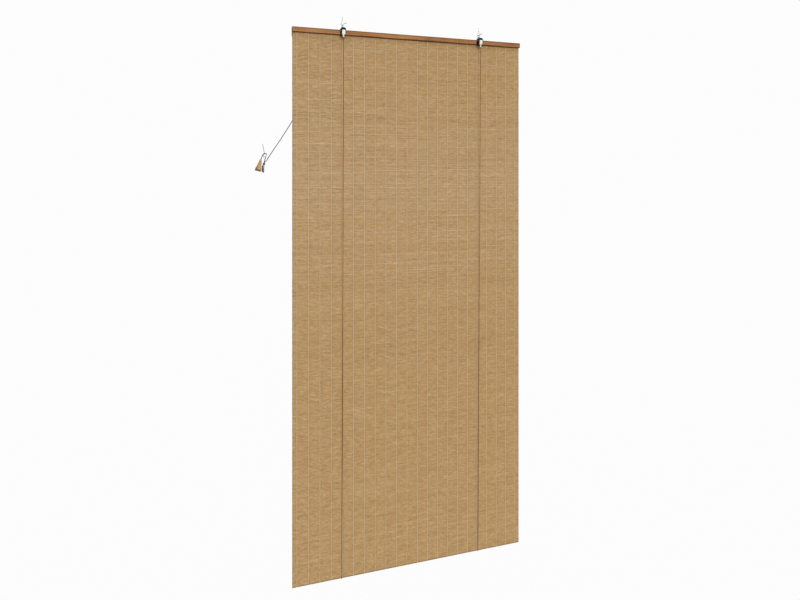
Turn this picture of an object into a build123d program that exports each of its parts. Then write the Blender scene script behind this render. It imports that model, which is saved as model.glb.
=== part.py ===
from build123d import *
import math
import os

# Bamboo roll-up blind, in millimetres. X runs along the blind, Y goes back to the wall, Z is up.
# The origin lies on the ceiling plane, midway between the two hooks that carry the blind.

# Overall sizes
blind_width = 1000.0
blind_drop = 2200.0
hanger_inset = 200.0
rail_below_ceiling = 40.0

# Clearances and overruns
fit_gap = 0.05
cord_gap = 0.3
face_gap = 0.3
overrun = 1.0

# Head rail in front of the mat and the strip nailed behind it
rail_height = 20.0
rail_depth = 9.0
rail_edge_round = 1.5
strip_height = 36.0
strip_depth = 6.0
strip_edge_round = 1.0

# Nails that clamp the mat between rail and strip, driven from behind
nail_count = 8
nail_shank_r = 0.7
nail_head_r = 2.0
nail_head_height = 0.8
nail_in_rail = 6.0
nail_point_length = 1.6
nail_end_inset = 46.0
nail_below_top = 10.0

# Bamboo mat: splints laid across, held by pairs of warp threads
mat_side_inset = 1.0
mat_below_top = 5.0
splint_pitch = 5.3
splint_thickness = 2.4
groove_depth = 0.6
thread_count = 22
thread_side_inset = 18.5
thread_width = 2.2
thread_thickness = 0.6
slit_height = 0.8
slit_side_margin = 3.0
slit_rows_per_span = 3
slit_step_rows = 37
slit_shift_rows = 11

# Rod that the mat winds on, and the nails that hold the mat to it
rod_r = 6.0
rod_side_inset = 8.0
rod_edge_round = 1.0
rod_joint_width = 3.0
rod_joint_depth = 0.4
rod_joint_shares = (0.11, 0.37, 0.64, 0.88)
rod_nail_count = 6
rod_nail_shank_r = 0.6
rod_nail_head_r = 1.5
rod_nail_head_height = 0.6
rod_nail_depth = 9.0
rod_nail_point_length = 1.4
rod_nail_side_inset = 64.0

# Pulley bracket: one stamped plate with two cheeks bent forward and a neck for the ring
bracket_plate = 1.5
bracket_width = 18.0
bracket_lip_width = 20.0
bracket_lip_height = 3.6
bracket_lip_round = 1.4
bracket_neck_width = 9.0
bracket_neck_height = 8.2
bracket_plate_drop = 18.5
cheek_top_reach = 21.0
cheek_nose_reach = 22.0
cheek_nose_drop = 22.0
cheek_drop = 30.0
cheek_foot_reach = 9.0
hood_width = 11.0
hood_lip_width = 20.0
hood_lip_drop = 9.0
cheek_corner_round = 3.5
ring_hole_r = 2.2
cord_hole_r = 1.7

# Screws that hold a bracket to the rail
screw_head_r = 2.6
screw_head_height = 1.0
screw_shank_r = 1.2
screw_length = 8.0
screw_point_length = 2.4
screw_slot_width = 0.7
screw_slot_depth = 0.5
screw_upper_drop = 4.5
screw_lower_drop = 15.0

# Sheave and its axle
sheave_r = 9.0
sheave_rim_width = 12.0
sheave_hub_r = 4.2
sheave_web_r = 6.0
sheave_web_depth = 2.2
sheave_groove_width = 8.6
sheave_below_top = 6.0
sheave_plate_gap = 1.8
axle_r = 2.0
axle_head_r = 3.3
axle_head_height = 1.2

# Moulded guide that covers the sheave in front and leads the cord out below it, held between the cheeks
guide_below_sheave = 1.5
guide_length = 16.5
guide_top_r = 5.2
guide_tip_r = 2.2
guide_bar_height = 5.0
guide_bar_depth = 6.0
guide_tip_round = 0.5
guard_width = 12.0
guard_depth = 2.4
guard_below_lip = 0.6
guard_round = 1.2

# Lift cords, and the thicker pull cord that they become
cord_r = 1.0
pull_cord_r = 1.5
cord_over_rail = 2.0
cord_edge_r = 3.0
pull_sag = 14.0
pull_sag_r = 4000.0

# Ring between hook and bracket
ring_wire_r = 0.9
ring_mid_r = 5.6
ring_turn_deg = 30.0
ring_seat_gap = 0.2

# Screw hooks
hook_wire_r = 1.5
hook_curl_r = 5.5
hook_shoulder_r = 4.0
hanger_tip_length = 8.0
cord_hook_tip_length = 2.0
hook_curl_end_deg = 85.0
hook_flare_r = 3.5
hook_flare_deg = 70.0
hook_point_length = 4.0
hanger_shank_above = 9.0
cord_hook_shank = 35.0

# Rear guide eyes that lead the lift cords
eye_wire_r = 1.0
eye_mid_r = 4.5
eye_stem_length = 2.5
eye_screw_length = 5.0
eye_point_length = 1.6
eye_beside_sheave = 9.0
eye_below_top = 30.0
eye_cord_spread = 1.2
eye_bend_r = 4.0

# Screws that the fixed ends of the lift cords are tied to, and the knots round them
anchor_beside_sheave = 12.0
anchor_below_top = 12.0
anchor_head_r = 2.6
anchor_head_height = 1.4
anchor_shank_r = 1.4
anchor_length = 5.0
anchor_point_length = 1.6
anchor_knot_r = 2.4
anchor_knot_sink = 0.8

# Turn of the lift cords below the mat
turn_height = 20.0
turn_front_r = 2.5

# Joiner where the two lift cords become the pull cord
joiner_r = 4.5
joiner_length = 12.0
joiner_after_eye = 30.0
joiner_round = 1.5

# Hook at the side, which the pull cord is hung up on
cord_hook_x = -603.0
cord_hook_y = 29.0
cord_hook_below_top = 496.0
cord_hook_lean_deg = 10.0

# Hank of spare cord on that hook: its size, and its section from the top down in shares of that
hank_rise = 6.0
hank_length = 66.0
hank_width = 12.0
hank_depth = 9.2
hank_lean = 6.0
hank_drop_shares = (0.0, 0.15, 0.41, 0.78, 1.0)
hank_lean_shares = (0.0, 0.05, 0.5, 0.9, 1.0)
hank_width_shares = (0.42, 0.8, 0.72, 1.0, 0.7)
hank_depth_shares = (0.74, 0.92, 0.87, 1.0, 0.74)
hank_waist = 2
hank_channel_gap = 0.3
hank_knot_half_height = 3.4
hank_knot_wrap = 1.4

# Wooden pull on the end of the cord
drop_x = -617.0
drop_lean_deg = 15.5
drop_top_below_curl = 8.5
drop_length = 48.0
drop_top_r = 3.6
drop_waist_r = 7.4
drop_foot_r = 11.6
drop_lip_height = 5.0
drop_waist_share = 0.4

# Tail of the cord: across the mouth of the hook, past its curl and down to the pull
tail_tip_reach = 8.0
tail_tip_rise = 5.5
tail_past_curl = 9.5
tail_past_drop = 0.5
tail_above_drop = 6.0
tail_below_shank = 0.9
tail_bend_r = 5.0


# Places that follow from the sizes
rail_top = -rail_below_ceiling
mat_bottom = rail_top - blind_drop
hanger_x = blind_width / 2 - hanger_inset
hanger_places = (("left", -hanger_x), ("right", hanger_x))
plate_front = -bracket_plate / 2
plate_back = bracket_plate / 2
rail_back = plate_back + rail_depth
mat_front = rail_back + thread_thickness
mat_back = mat_front + splint_thickness
strip_front = mat_back + thread_thickness
strip_back = strip_front + strip_depth
mat_width = blind_width - 2 * mat_side_inset
mat_top = rail_top - mat_below_top
splint_count = round((mat_top - mat_bottom) / splint_pitch)
splint_step = (mat_top - mat_bottom) / splint_count
thread_step = (mat_width - 2 * thread_side_inset) / (thread_count - 1)
thread_first_x = -mat_width / 2 + thread_side_inset
sheave_y = plate_front - sheave_plate_gap - sheave_r
sheave_z = rail_top - sheave_below_top
cord_mid_r = cord_over_rail + sheave_below_top
groove_floor_r = cord_mid_r - cord_r - cord_gap
cord_top_z = rail_top + cord_over_rail
rod_y = strip_front + rod_r
rod_z = mat_bottom + rod_r
turn_z = mat_bottom - cord_gap - cord_r
turn_front_y = rail_back - cord_gap - cord_r
turn_back_y = rod_y + rod_r + cord_gap + cord_r
turn_top = mat_bottom + turn_height
eye_y = strip_back + eye_stem_length + eye_mid_r + eye_wire_r
eye_z = rail_top - eye_below_top
anchor_z = rail_top - anchor_below_top
ring_hole_z = rail_top + bracket_neck_height
ring_z = ring_hole_z + ring_hole_r - ring_wire_r + ring_mid_r - ring_seat_gap
hook_curl_z = ring_z + ring_mid_r - ring_wire_r - hook_wire_r + hook_curl_r

os.makedirs("parts", exist_ok=True)


def save(name, shape):
    shape.label = name
    export_step(shape, "parts/" + name + ".step")


def at(x, y, z):
    return Pos(x, y, z)


def along_y(shape):
    # A shape built about Z now points along +Y
    return Rot(-90, 0, 0) * shape


def along_x(shape):
    # A shape built about Z now points along +X
    return Rot(0, 90, 0) * shape


def round_wire(path, radius):
    section = Plane(origin=path @ 0, z_dir=path % 0) * Circle(radius)
    return sweep(section, path)


def cord_path(points, radii):
    if radii:
        return FilletPolyline(*points, radius=radii)
    return Line(*points)


def cord_tube(name, points, radii, tube_r=cord_r):
    path = cord_path(points, radii)
    tube = round_wire(path, tube_r)
    share = tube.volume / (math.pi * tube_r**2 * path.length)
    print(name, "length", round(path.length, 1), "radii", radii, "volume share", round(share, 3))
    return tube


def pointed_pin(radius, length, point_length):
    # A pin from z = 0 up, with a cone on its end
    body = Cylinder(radius, length - point_length, align=(Align.CENTER, Align.CENTER, Align.MIN))
    cone = Cone(radius, 0, point_length, align=(Align.CENTER, Align.CENTER, Align.MIN))
    return body + at(0, 0, length - point_length) * cone


def headed_pin(radius, length, point_length, head_r, head_height):
    # The underside of the head lies at z = 0, and the pin goes up from it
    head = Cylinder(head_r, head_height, align=(Align.CENTER, Align.CENTER, Align.MAX))
    head = fillet(head.edges().sort_by(Axis.Z)[0], head_height / 2)
    return head + pointed_pin(radius, length, point_length)


def slotted(screw, head_r, head_height, slot_width, slot_depth):
    slot = Box(2 * head_r + overrun, slot_width, slot_depth + overrun)
    return screw - at(0, 0, -head_height + (slot_depth - overrun) / 2) * slot


# Nails through strip and mat into the rail
nail_span = blind_width - 2 * nail_end_inset
nail_xs = [-nail_span / 2 + nail_span * i / (nail_count - 1) for i in range(nail_count)]
nail_z = rail_top - nail_below_top
nail_length = strip_back - rail_back + nail_in_rail
nail = headed_pin(nail_shank_r, nail_length, nail_point_length, nail_head_r, nail_head_height)
nail = Rot(90, 0, 0) * nail
nails = [at(x, strip_back, nail_z) * nail for x in nail_xs]
save("rail_nails", Compound(children=nails))
nail_hole = along_y(Cylinder(nail_shank_r + fit_gap, 2 * (nail_in_rail + fit_gap)))
nail_bore_y = rail_back
nail_through = along_y(Cylinder(nail_shank_r + fit_gap, 2 * (strip_back - rail_back) + overrun))

# Screws of the brackets
screw_zs = (rail_top - screw_upper_drop, rail_top - screw_lower_drop)
screw = headed_pin(screw_shank_r, screw_length, screw_point_length, screw_head_r, screw_head_height)
screw = slotted(screw, screw_head_r, screw_head_height, screw_slot_width, screw_slot_depth)
screw = along_y(screw)
screw_hole = along_y(Cylinder(screw_shank_r + fit_gap, 2 * (screw_length + fit_gap)))

# Head rail, with the holes that nails and screws sit in
rail = Box(blind_width, rail_depth, rail_height)
rail = at(0, plate_back + rail_depth / 2, rail_top - rail_height / 2) * rail
rail = fillet(rail.edges().filter_by(Axis.X), rail_edge_round)
rail -= [at(x, nail_bore_y, nail_z) * nail_hole for x in nail_xs]
rail -= [at(x, plate_front, z) * screw_hole for _, x in hanger_places for z in screw_zs]
save("head_rail", rail)

# Strip behind the mat, with holes for nails, guide eyes and anchor screws
eye_hole = along_y(Cylinder(eye_wire_r + fit_gap, 2 * (eye_screw_length + fit_gap)))
anchor_hole = along_y(Cylinder(anchor_shank_r + fit_gap, 2 * (anchor_length + fit_gap)))
strip = Box(blind_width, strip_depth, strip_height)
strip = at(0, strip_front + strip_depth / 2, rail_top - strip_height / 2) * strip
strip = fillet(strip.edges().filter_by(Axis.X), strip_edge_round)
strip -= [at(x, strip_front, nail_z) * nail_through for x in nail_xs]
strip -= [at(x - eye_beside_sheave, strip_back, eye_z) * eye_hole for _, x in hanger_places]
strip -= [at(x + anchor_beside_sheave, strip_back, anchor_z) * anchor_hole for _, x in hanger_places]
save("clamp_strip", strip)

# Bamboo mat: one wall whose section has a gable for every splint, on both sides
front_points = []
back_points = []
for i in range(splint_count):
    foot = mat_bottom + i * splint_step
    front_points.append((mat_front + groove_depth, foot))
    front_points.append((mat_front, foot + splint_step / 2))
    back_points.append((mat_back - groove_depth, foot))
    back_points.append((mat_back, foot + splint_step / 2))
front_points.append((mat_front + groove_depth, mat_top))
back_points.append((mat_back - groove_depth, mat_top))
mat_outline = Polyline(*front_points, *reversed(back_points), close=True)
mat_section = Plane.YZ * make_face(mat_outline)
mat = at(-mat_width / 2, 0, 0) * extrude(mat_section, mat_width, dir=(1, 0, 0))

# Slits where light shows between two splints, spread over the spans between the threads
slit = Box(thread_step - thread_width - 2 * slit_side_margin, 2 * splint_thickness, slit_height)
slit_band = splint_count // slit_rows_per_span
slits = []
for span in range(thread_count - 1):
    slit_x = thread_first_x + (span + 1 / 2) * thread_step
    for row in range(slit_rows_per_span):
        step = (span * slit_step_rows + row * slit_shift_rows) % (slit_band - slit_shift_rows)
        slit_row = row * slit_band + slit_shift_rows // 2 + step
        slit_z = mat_bottom + slit_row * splint_step
        slits.append(at(slit_x, (mat_front + mat_back) / 2, slit_z) * slit)
mat -= slits
mat_nail_hole = along_y(Cylinder(nail_shank_r + fit_gap, 2 * splint_thickness))
mat -= [at(x, (mat_front + mat_back) / 2, nail_z) * mat_nail_hole for x in nail_xs]

# Rod nails go between the threads, from the front through the mat into the rod
rod_nail_span = mat_width - 2 * rod_nail_side_inset
rod_nail_xs = []
for i in range(rod_nail_count):
    wanted = -rod_nail_span / 2 + rod_nail_span * i / (rod_nail_count - 1)
    span = round((wanted - thread_first_x) / thread_step - 1 / 2)
    rod_nail_xs.append(thread_first_x + (span + 1 / 2) * thread_step)
rod_nail_hole = along_y(Cylinder(rod_nail_shank_r + face_gap, 2 * splint_thickness))
mat -= [at(x, (mat_front + mat_back) / 2, rod_z) * rod_nail_hole for x in rod_nail_xs]
save("bamboo_mat", mat)

# Warp threads, one in front of the splints and one behind at each place
thread = Box(thread_width, thread_thickness, mat_top - mat_bottom)
thread_mid_z = (mat_top + mat_bottom) / 2
threads = []
for i in range(thread_count):
    thread_x = thread_first_x + i * thread_step
    for thread_y in (mat_front - thread_thickness / 2, mat_back + thread_thickness / 2):
        threads.append(at(thread_x, thread_y, thread_mid_z) * thread)
save("warp_threads", Compound(children=threads))

# Rod with the shallow rings of a bamboo cane
rod_length = mat_width - 2 * rod_side_inset
rod = along_x(Cylinder(rod_r, rod_length))
rod = fillet(rod.edges(), rod_edge_round)
rod_ring = Cylinder(rod_r + overrun, rod_joint_width) - Cylinder(rod_r - rod_joint_depth, rod_joint_width)
rod -= [at((share - 1 / 2) * rod_length, 0, 0) * along_x(rod_ring) for share in rod_joint_shares]
rod = at(0, rod_y, rod_z) * rod
rod_bore = along_y(Cylinder(rod_nail_shank_r + fit_gap, 2 * (rod_nail_depth + fit_gap)))
rod -= [at(x, strip_front, rod_z) * rod_bore for x in rod_nail_xs]
save("bottom_rod", rod)
rod_nail_length = strip_front - rail_back + rod_nail_depth
rod_nail = headed_pin(
    rod_nail_shank_r, rod_nail_length, rod_nail_point_length, rod_nail_head_r, rod_nail_head_height
)
rod_nail = along_y(rod_nail)
save("rod_nails", Compound(children=[at(x, rail_back, rod_z) * rod_nail for x in rod_nail_xs]))

# Pulley bracket about x = 0: plate outline first, then the cheeks bent from its sides
plate_bottom = rail_top - bracket_plate_drop
lip_top = rail_top + bracket_lip_height
body_height = rail_top - plate_bottom
plate_face = Pos(0, (rail_top + plate_bottom) / 2) * Rectangle(bracket_width, body_height)
lip_face = RectangleRounded(bracket_lip_width, 2 * bracket_lip_height, bracket_lip_round)
plate_face += Pos(0, rail_top) * lip_face
neck_points = (
    (-bracket_neck_width, lip_top - bracket_lip_round),
    (bracket_neck_width, lip_top - bracket_lip_round),
    (bracket_neck_width / 2, ring_hole_z),
    (-bracket_neck_width / 2, ring_hole_z),
)
plate_face += make_face(Polyline(*neck_points, close=True))
plate_face += Pos(0, ring_hole_z) * Circle(bracket_neck_width / 2)
plate_face -= Pos(0, ring_hole_z) * Circle(ring_hole_r)
plate_face -= Pos(0, cord_top_z) * Circle(cord_hole_r)
plate = at(0, plate_back, 0) * extrude(Plane.XZ * plate_face, bracket_plate)
cheek_points = (
    (plate_back, lip_top),
    (plate_front - cheek_top_reach, lip_top),
    (plate_front - cheek_nose_reach, rail_top - cheek_nose_drop),
    (plate_front - cheek_foot_reach, rail_top - cheek_drop),
    (plate_back, rail_top - bracket_plate_drop),
)
cheek_face = make_face(Polyline(*cheek_points, close=True))
cheek_corners = cheek_face.vertices().sort_by(Axis.X)[:3]
cheek_face = fillet(cheek_corners, cheek_corner_round)
cheek_face -= Pos(sheave_y, sheave_z) * Circle(axle_r + fit_gap)
cheek = extrude(Plane.YZ * cheek_face, bracket_plate, dir=(1, 0, 0))
bracket = plate + at(-bracket_width / 2, 0, 0) * cheek
bracket += at(bracket_width / 2 - bracket_plate, 0, 0) * cheek

# Hood bent forward over the sheave, with a flared lip in front
hood_front = plate_front - cheek_nose_reach
lip_foot = lip_top + bracket_plate - hood_lip_drop
hood_depth = plate_back - hood_front
hood = Box(hood_width, hood_depth, bracket_plate, align=(Align.CENTER, Align.MIN, Align.MIN))
bracket += at(0, hood_front, lip_top) * hood
lip_points = (
    (-hood_width / 2, lip_top + bracket_plate),
    (hood_width / 2, lip_top + bracket_plate),
    (hood_lip_width / 2, lip_foot),
    (-hood_lip_width / 2, lip_foot),
)
hood_lip = extrude(Plane.XZ * make_face(Polyline(*lip_points, close=True)), bracket_plate)
bracket += at(0, hood_front + bracket_plate, 0) * hood_lip
bracket -= [at(0, plate_front, z) * screw_hole for z in screw_zs]

# Sheave: one revolved section with a cord groove and dished sides
hub_width = bracket_width - 2 * bracket_plate - 2 * face_gap
groove_outline = (
    (0, groove_floor_r),
    (sheave_groove_width / 2, sheave_r + overrun),
    (-sheave_groove_width / 2, sheave_r + overrun),
)
bore_r = axle_r + fit_gap
wheel_face = Pos(0, (bore_r + sheave_r) / 2) * Rectangle(sheave_rim_width, sheave_r - bore_r)
dish = Rectangle(sheave_web_depth, sheave_web_r - sheave_hub_r)
dish_height = (sheave_web_r + sheave_hub_r) / 2
dish_x = (sheave_rim_width - sheave_web_depth) / 2
wheel_face -= [Pos(side * dish_x, dish_height) * dish for side in (-1, 1)]
wheel_face -= Pos(0, cord_mid_r) * Circle(cord_r + cord_gap)
wheel_face -= make_face(Polyline(*groove_outline, close=True))
hub_face = Pos(0, (bore_r + sheave_hub_r) / 2) * Rectangle(hub_width, sheave_hub_r - bore_r)
sheave = revolve(wheel_face + hub_face, Axis.X)

# Axle riveted over at both cheeks
axle_length = bracket_width + 2 * axle_head_height
axle = along_x(Cylinder(axle_r, axle_length))
axle_head = Cylinder(axle_head_r, axle_head_height, align=(Align.CENTER, Align.CENTER, Align.MIN))
axle_head = along_x(fillet(axle_head.edges().sort_by(Axis.Z)[-1], axle_head_height / 2))
axle += at(bracket_width / 2, 0, 0) * axle_head
axle += at(-bracket_width / 2, 0, 0) * Rot(0, 0, 180) * axle_head


def screw_hook(shank_length, tip_length):
    # An open hook in the XZ plane: the curl's middle is the origin and the shank stands above it
    turn = math.acos(hook_shoulder_r / (hook_shoulder_r + hook_curl_r))
    shoulder_z = (hook_shoulder_r + hook_curl_r) * math.sin(turn)
    turn_deg = math.degrees(turn)
    shank = Line((0, shoulder_z + shank_length), (0, shoulder_z))
    shoulder = JernArc(shank @ 1, shank % 1, hook_shoulder_r, -turn_deg)
    curl = JernArc(shoulder @ 1, shoulder % 1, hook_curl_r, 90 + turn_deg + hook_curl_end_deg)
    flare = JernArc(curl @ 1, curl % 1, hook_flare_r, -hook_flare_deg)
    tip = Line(flare @ 1, flare @ 1 + (flare % 1) * tip_length)
    path = Plane.XZ * (shank + shoulder + curl + flare + tip)
    hook = round_wire(path, hook_wire_r)
    hook += at(*(path @ 1)) * Sphere(hook_wire_r)
    point = Cone(hook_wire_r, 0, hook_point_length, align=(Align.CENTER, Align.CENTER, Align.MIN))
    return hook + at(*(path @ 0)) * point


shoulder_rise = math.sqrt((hook_shoulder_r + hook_curl_r) ** 2 - hook_shoulder_r**2)
hanger_shank = -(hook_curl_z + shoulder_rise) + hanger_shank_above
hanger_hook = at(0, 0, hook_curl_z) * screw_hook(hanger_shank, hanger_tip_length)

# Rear guide eye: a ring across X on a stem screwed into the strip
eye = Rot(0, 90, 0) * Torus(eye_mid_r, eye_wire_r)
eye_stem = eye_screw_length + eye_stem_length + eye_wire_r
eye_pin = Rot(90, 0, 0) * pointed_pin(eye_wire_r, eye_stem, eye_point_length)
eye += at(0, -eye_mid_r, 0) * eye_pin

# Anchor screw and the knot of cord tied round it
anchor_reach = anchor_length + 2 * cord_r + fit_gap
anchor = headed_pin(
    anchor_shank_r, anchor_reach, anchor_point_length, anchor_head_r, anchor_head_height
)
anchor = slotted(anchor, anchor_head_r, anchor_head_height, screw_slot_width, screw_slot_depth)
anchor = Rot(90, 0, 0) * anchor
knot_loop = Rot(90, 0, 0) * Torus(anchor_shank_r + fit_gap + cord_r, cord_r)
knot_drop = anchor_shank_r + fit_gap + 2 * cord_r + anchor_knot_r - anchor_knot_sink
knot = knot_loop + at(0, anchor_knot_r - cord_r, -knot_drop) * Sphere(anchor_knot_r)
anchor_mid_y = strip_back + cord_r

# The lift cord leaves the sheave in front and leans in to the foot of the mat
front_top_z = sheave_z - sheave_r
front_lean = math.atan2(turn_front_y - sheave_y + cord_mid_r, sheave_z - turn_top)
front_y = sheave_y - cord_mid_r / math.cos(front_lean)
front_corner_y = front_y - cord_mid_r * math.tan(front_lean)
front_split_y = front_y + sheave_r * math.tan(front_lean)
strip_edge_y = strip_back + cord_gap + cord_r

# Guide: a bar between the cheeks, a tapered spout round the cord and a guard that stands up before the sheave
guide_top = sheave_z - sheave_r - guide_below_sheave
guide_y = front_y + (sheave_z - guide_top + guide_length / 2) * math.tan(front_lean)
spout = Rot(180, 0, 0) * Cone(
    guide_top_r, guide_tip_r, guide_length, align=(Align.CENTER, Align.CENTER, Align.MIN)
)
spout = fillet(spout.edges().sort_by(Axis.Z)[0], guide_tip_round)
guide_bar_width = bracket_width - 2 * bracket_plate - 2 * fit_gap
guide_align = (Align.CENTER, Align.CENTER, Align.MAX)
guide = spout + Box(guide_bar_width, guide_bar_depth, guide_bar_height, align=guide_align)
guard_rise = lip_foot - guard_below_lip - guide_top
guard_foot_r = guide_top_r - (guide_top_r - guide_tip_r) * guide_bar_height / guide_length
guard_points = (
    (-guard_width / 2, guard_rise),
    (guard_width / 2, guard_rise),
    (guard_width / 2, 0),
    (guard_foot_r, -guide_bar_height),
    (-guard_foot_r, -guide_bar_height),
    (-guard_width / 2, 0),
)
guard_face = make_face(Polyline(*guard_points, close=True))
guard_face = fillet(guard_face.vertices().sort_by(Axis.Y)[-2:], guard_round)
guard = extrude(Plane.XZ * guard_face, guard_depth)
guide += at(0, guard_depth - guide_top_r, 0) * guard
guide -= Cylinder(cord_r + cord_gap, 2 * guide_length + overrun)

for side, x in hanger_places:
    spot = at(x, 0, 0)
    save(side + "_pulley_bracket", spot * bracket)
    save(side + "_bracket_screws", Compound(children=[at(x, plate_front, z) * screw for z in screw_zs]))
    save(side + "_sheave", at(x, sheave_y, sheave_z) * sheave)
    save(side + "_sheave_axle", at(x, sheave_y, sheave_z) * axle)
    save(side + "_guide_spout", at(x, guide_y, guide_top) * guide)
    save(side + "_screw_hook", spot * hanger_hook)
    ring = Rot(0, 0, ring_turn_deg) * Rot(0, 90, 0) * Torus(ring_mid_r, ring_wire_r)
    save(side + "_hanger_ring", at(x, 0, ring_z) * ring)
    save(side + "_guide_eye", at(x - eye_beside_sheave, eye_y, eye_z) * eye)
    anchor_x = x + anchor_beside_sheave
    save(side + "_anchor_screw", at(anchor_x, strip_back + 2 * cord_r + fit_gap, anchor_z) * anchor)
    save(side + "_cord_knot", at(anchor_x, anchor_mid_y, anchor_z) * knot)

    # Cord in front of the mat, its turn round the rod, and its way up behind the mat
    front = cord_tube(
        side + "_front_cord", ((x, front_split_y, front_top_z), (x, turn_front_y, turn_top)), []
    )
    save(side + "_front_cord", front)
    turn_points = (
        (x, turn_front_y, turn_top),
        (x, turn_front_y, turn_z),
        (x, turn_back_y, turn_z),
        (x, turn_back_y, turn_top),
    )
    turn_back_r = rod_r + cord_gap + cord_r
    save(side + "_cord_turn", cord_tube(side + "_cord_turn", turn_points, [turn_front_r, turn_back_r]))
    rear_top = (anchor_x, anchor_mid_y + anchor_knot_r - cord_r, anchor_z - knot_drop - anchor_knot_r)
    rear = cord_tube(side + "_rear_cord", (rear_top, (x, turn_back_y, turn_top)), [])
    save(side + "_rear_cord", rear)

# Hook at the side and the line of the pull cord to the waist of the hank
cord_hook_z = rail_top - cord_hook_below_top - hook_curl_r - hook_shoulder_r
cord_hook = Rot(0, -cord_hook_lean_deg, 0) * screw_hook(cord_hook_shank, cord_hook_tip_length)
save("cord_hook", at(cord_hook_x, cord_hook_y, cord_hook_z) * cord_hook)
hank_foot_z = cord_hook_z - hook_curl_r

# Hank of spare cord: one closed loft, tied at its waist, with a channel for the hook's wire
hank_top_z = hank_foot_z + hank_rise
hank_xs = [cord_hook_x - hank_lean * share for share in hank_lean_shares]
hank_half_widths = [hank_width / 2 * share for share in hank_width_shares]
hank_half_depths = [hank_depth / 2 * share for share in hank_depth_shares]
hank_sections = []
for i, share in enumerate(hank_drop_shares):
    middle = (hank_xs[i], cord_hook_y, hank_top_z - hank_length * share)
    hank_sections.append(Plane(origin=middle) * Ellipse(hank_half_widths[i], hank_half_depths[i]))
hank = loft(hank_sections)
waist_x = hank_xs[hank_waist]
waist_z = hank_top_z - hank_length * hank_drop_shares[hank_waist]
waist_half_x = hank_half_widths[hank_waist] + hank_knot_wrap
waist_face = Ellipse(waist_half_x, hank_half_depths[hank_waist] + hank_knot_wrap)
waist_plane = Plane(origin=(waist_x, cord_hook_y, waist_z - hank_knot_half_height))
hank += extrude(waist_plane * waist_face, 2 * hank_knot_half_height, dir=(0, 0, 1))
hank_channel = Rot(90, 0, 0) * Torus(hook_curl_r, hook_wire_r + hank_channel_gap)
hank -= at(cord_hook_x, cord_hook_y, cord_hook_z) * hank_channel
hank = hank.solids().sort_by(SortBy.VOLUME)[-1]
save("cord_hank", hank)

# Both lift cords over the rail, through the guide eyes and into the joiner
left_eye = Vector(-hanger_x - eye_beside_sheave, eye_y, eye_z)
right_eye = Vector(hanger_x - eye_beside_sheave, eye_y, eye_z)
waist_end = Vector(waist_x + waist_half_x, cord_hook_y, waist_z)
pull_line = (waist_end - left_eye).normalized()
joiner_start = left_eye + pull_line * joiner_after_eye
joiner_end = joiner_start + pull_line * joiner_length
joiner_plane = Plane(origin=joiner_start, z_dir=pull_line)
joiner = Cylinder(joiner_r, joiner_length, align=(Align.CENTER, Align.CENTER, Align.MIN))
joiner = fillet(joiner.edges(), joiner_round)
save("cord_joiner", joiner_plane * joiner)

spread = Vector(0, eye_cord_spread, 0)
over_rail_end = (-hanger_x, strip_edge_y, cord_top_z)
left_points = (
    (-hanger_x, front_split_y, front_top_z),
    (-hanger_x, front_corner_y, cord_top_z),
    over_rail_end,
    Vector(-hanger_x, eye_y, eye_z + eye_bend_r) - spread,
    left_eye - spread,
    joiner_start - spread,
)
left_top = cord_tube(
    "left_top_cord", left_points, [cord_mid_r, cord_edge_r, eye_bend_r, eye_bend_r]
)
save("left_top_cord", left_top)
right_points = (
    (hanger_x, front_split_y, front_top_z),
    (hanger_x, front_corner_y, cord_top_z),
    (hanger_x, strip_edge_y, cord_top_z),
    Vector(hanger_x, eye_y, eye_z) + spread,
    left_eye + spread,
    joiner_start + spread,
)
right_top = cord_tube(
    "right_top_cord", right_points, [cord_mid_r, cord_edge_r, eye_bend_r, eye_bend_r]
)
save("right_top_cord", right_top)
pull_middle = (joiner_end + waist_end) / 2 - Vector(0, 0, 2 * pull_sag)
pull = cord_tube("pull_cord", (joiner_end, pull_middle, waist_end), [pull_sag_r], pull_cord_r)
save("pull_cord", pull)

# Wooden pull on the tail of the cord, leaning as it hangs
drop_bore_r = pull_cord_r + fit_gap
drop_top = hank_foot_z - drop_top_below_curl
waist_height = drop_length * (1 - drop_waist_share)
drop_outline = Polyline(
    (drop_bore_r, drop_length), (drop_top_r, drop_length), (drop_waist_r, waist_height)
)
drop_flare = Spline(
    (drop_waist_r, waist_height),
    (drop_foot_r, drop_lip_height),
    tangents=[(0, -1), (0, -1)],
)
drop_base = Polyline(
    (drop_foot_r, drop_lip_height), (drop_foot_r, 0), (drop_bore_r, 0), (drop_bore_r, drop_length)
)
drop_face = Plane.XZ * make_face(drop_outline + drop_flare + drop_base)
drop = revolve(drop_face, Axis.Z)
drop_axis = Vector(math.sin(math.radians(drop_lean_deg)), 0, math.cos(math.radians(drop_lean_deg)))
drop_top_point = Vector(drop_x, cord_hook_y, drop_top)
drop_foot_point = drop_top_point - drop_axis * drop_length
save("cord_pull", at(*drop_foot_point) * Rot(0, drop_lean_deg, 0) * drop)
lean = math.radians(cord_hook_lean_deg)
neck_x = cord_hook_x - shoulder_rise * math.sin(lean)
neck_z = cord_hook_z + shoulder_rise * math.cos(lean)
tail_y = cord_hook_y - hook_wire_r - pull_cord_r - fit_gap
tail_points = (
    (cord_hook_x + tail_tip_reach, tail_y, cord_hook_z + tail_tip_rise),
    (neck_x, tail_y, neck_z - tail_below_shank),
    (cord_hook_x - tail_past_curl, tail_y, cord_hook_z - tail_past_drop),
    drop_top_point + drop_axis * tail_above_drop,
    drop_foot_point,
)
tail = cord_tube("tail_cord", tail_points, [tail_bend_r, tail_bend_r, tail_bend_r], pull_cord_r)
save("tail_cord", tail)
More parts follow.
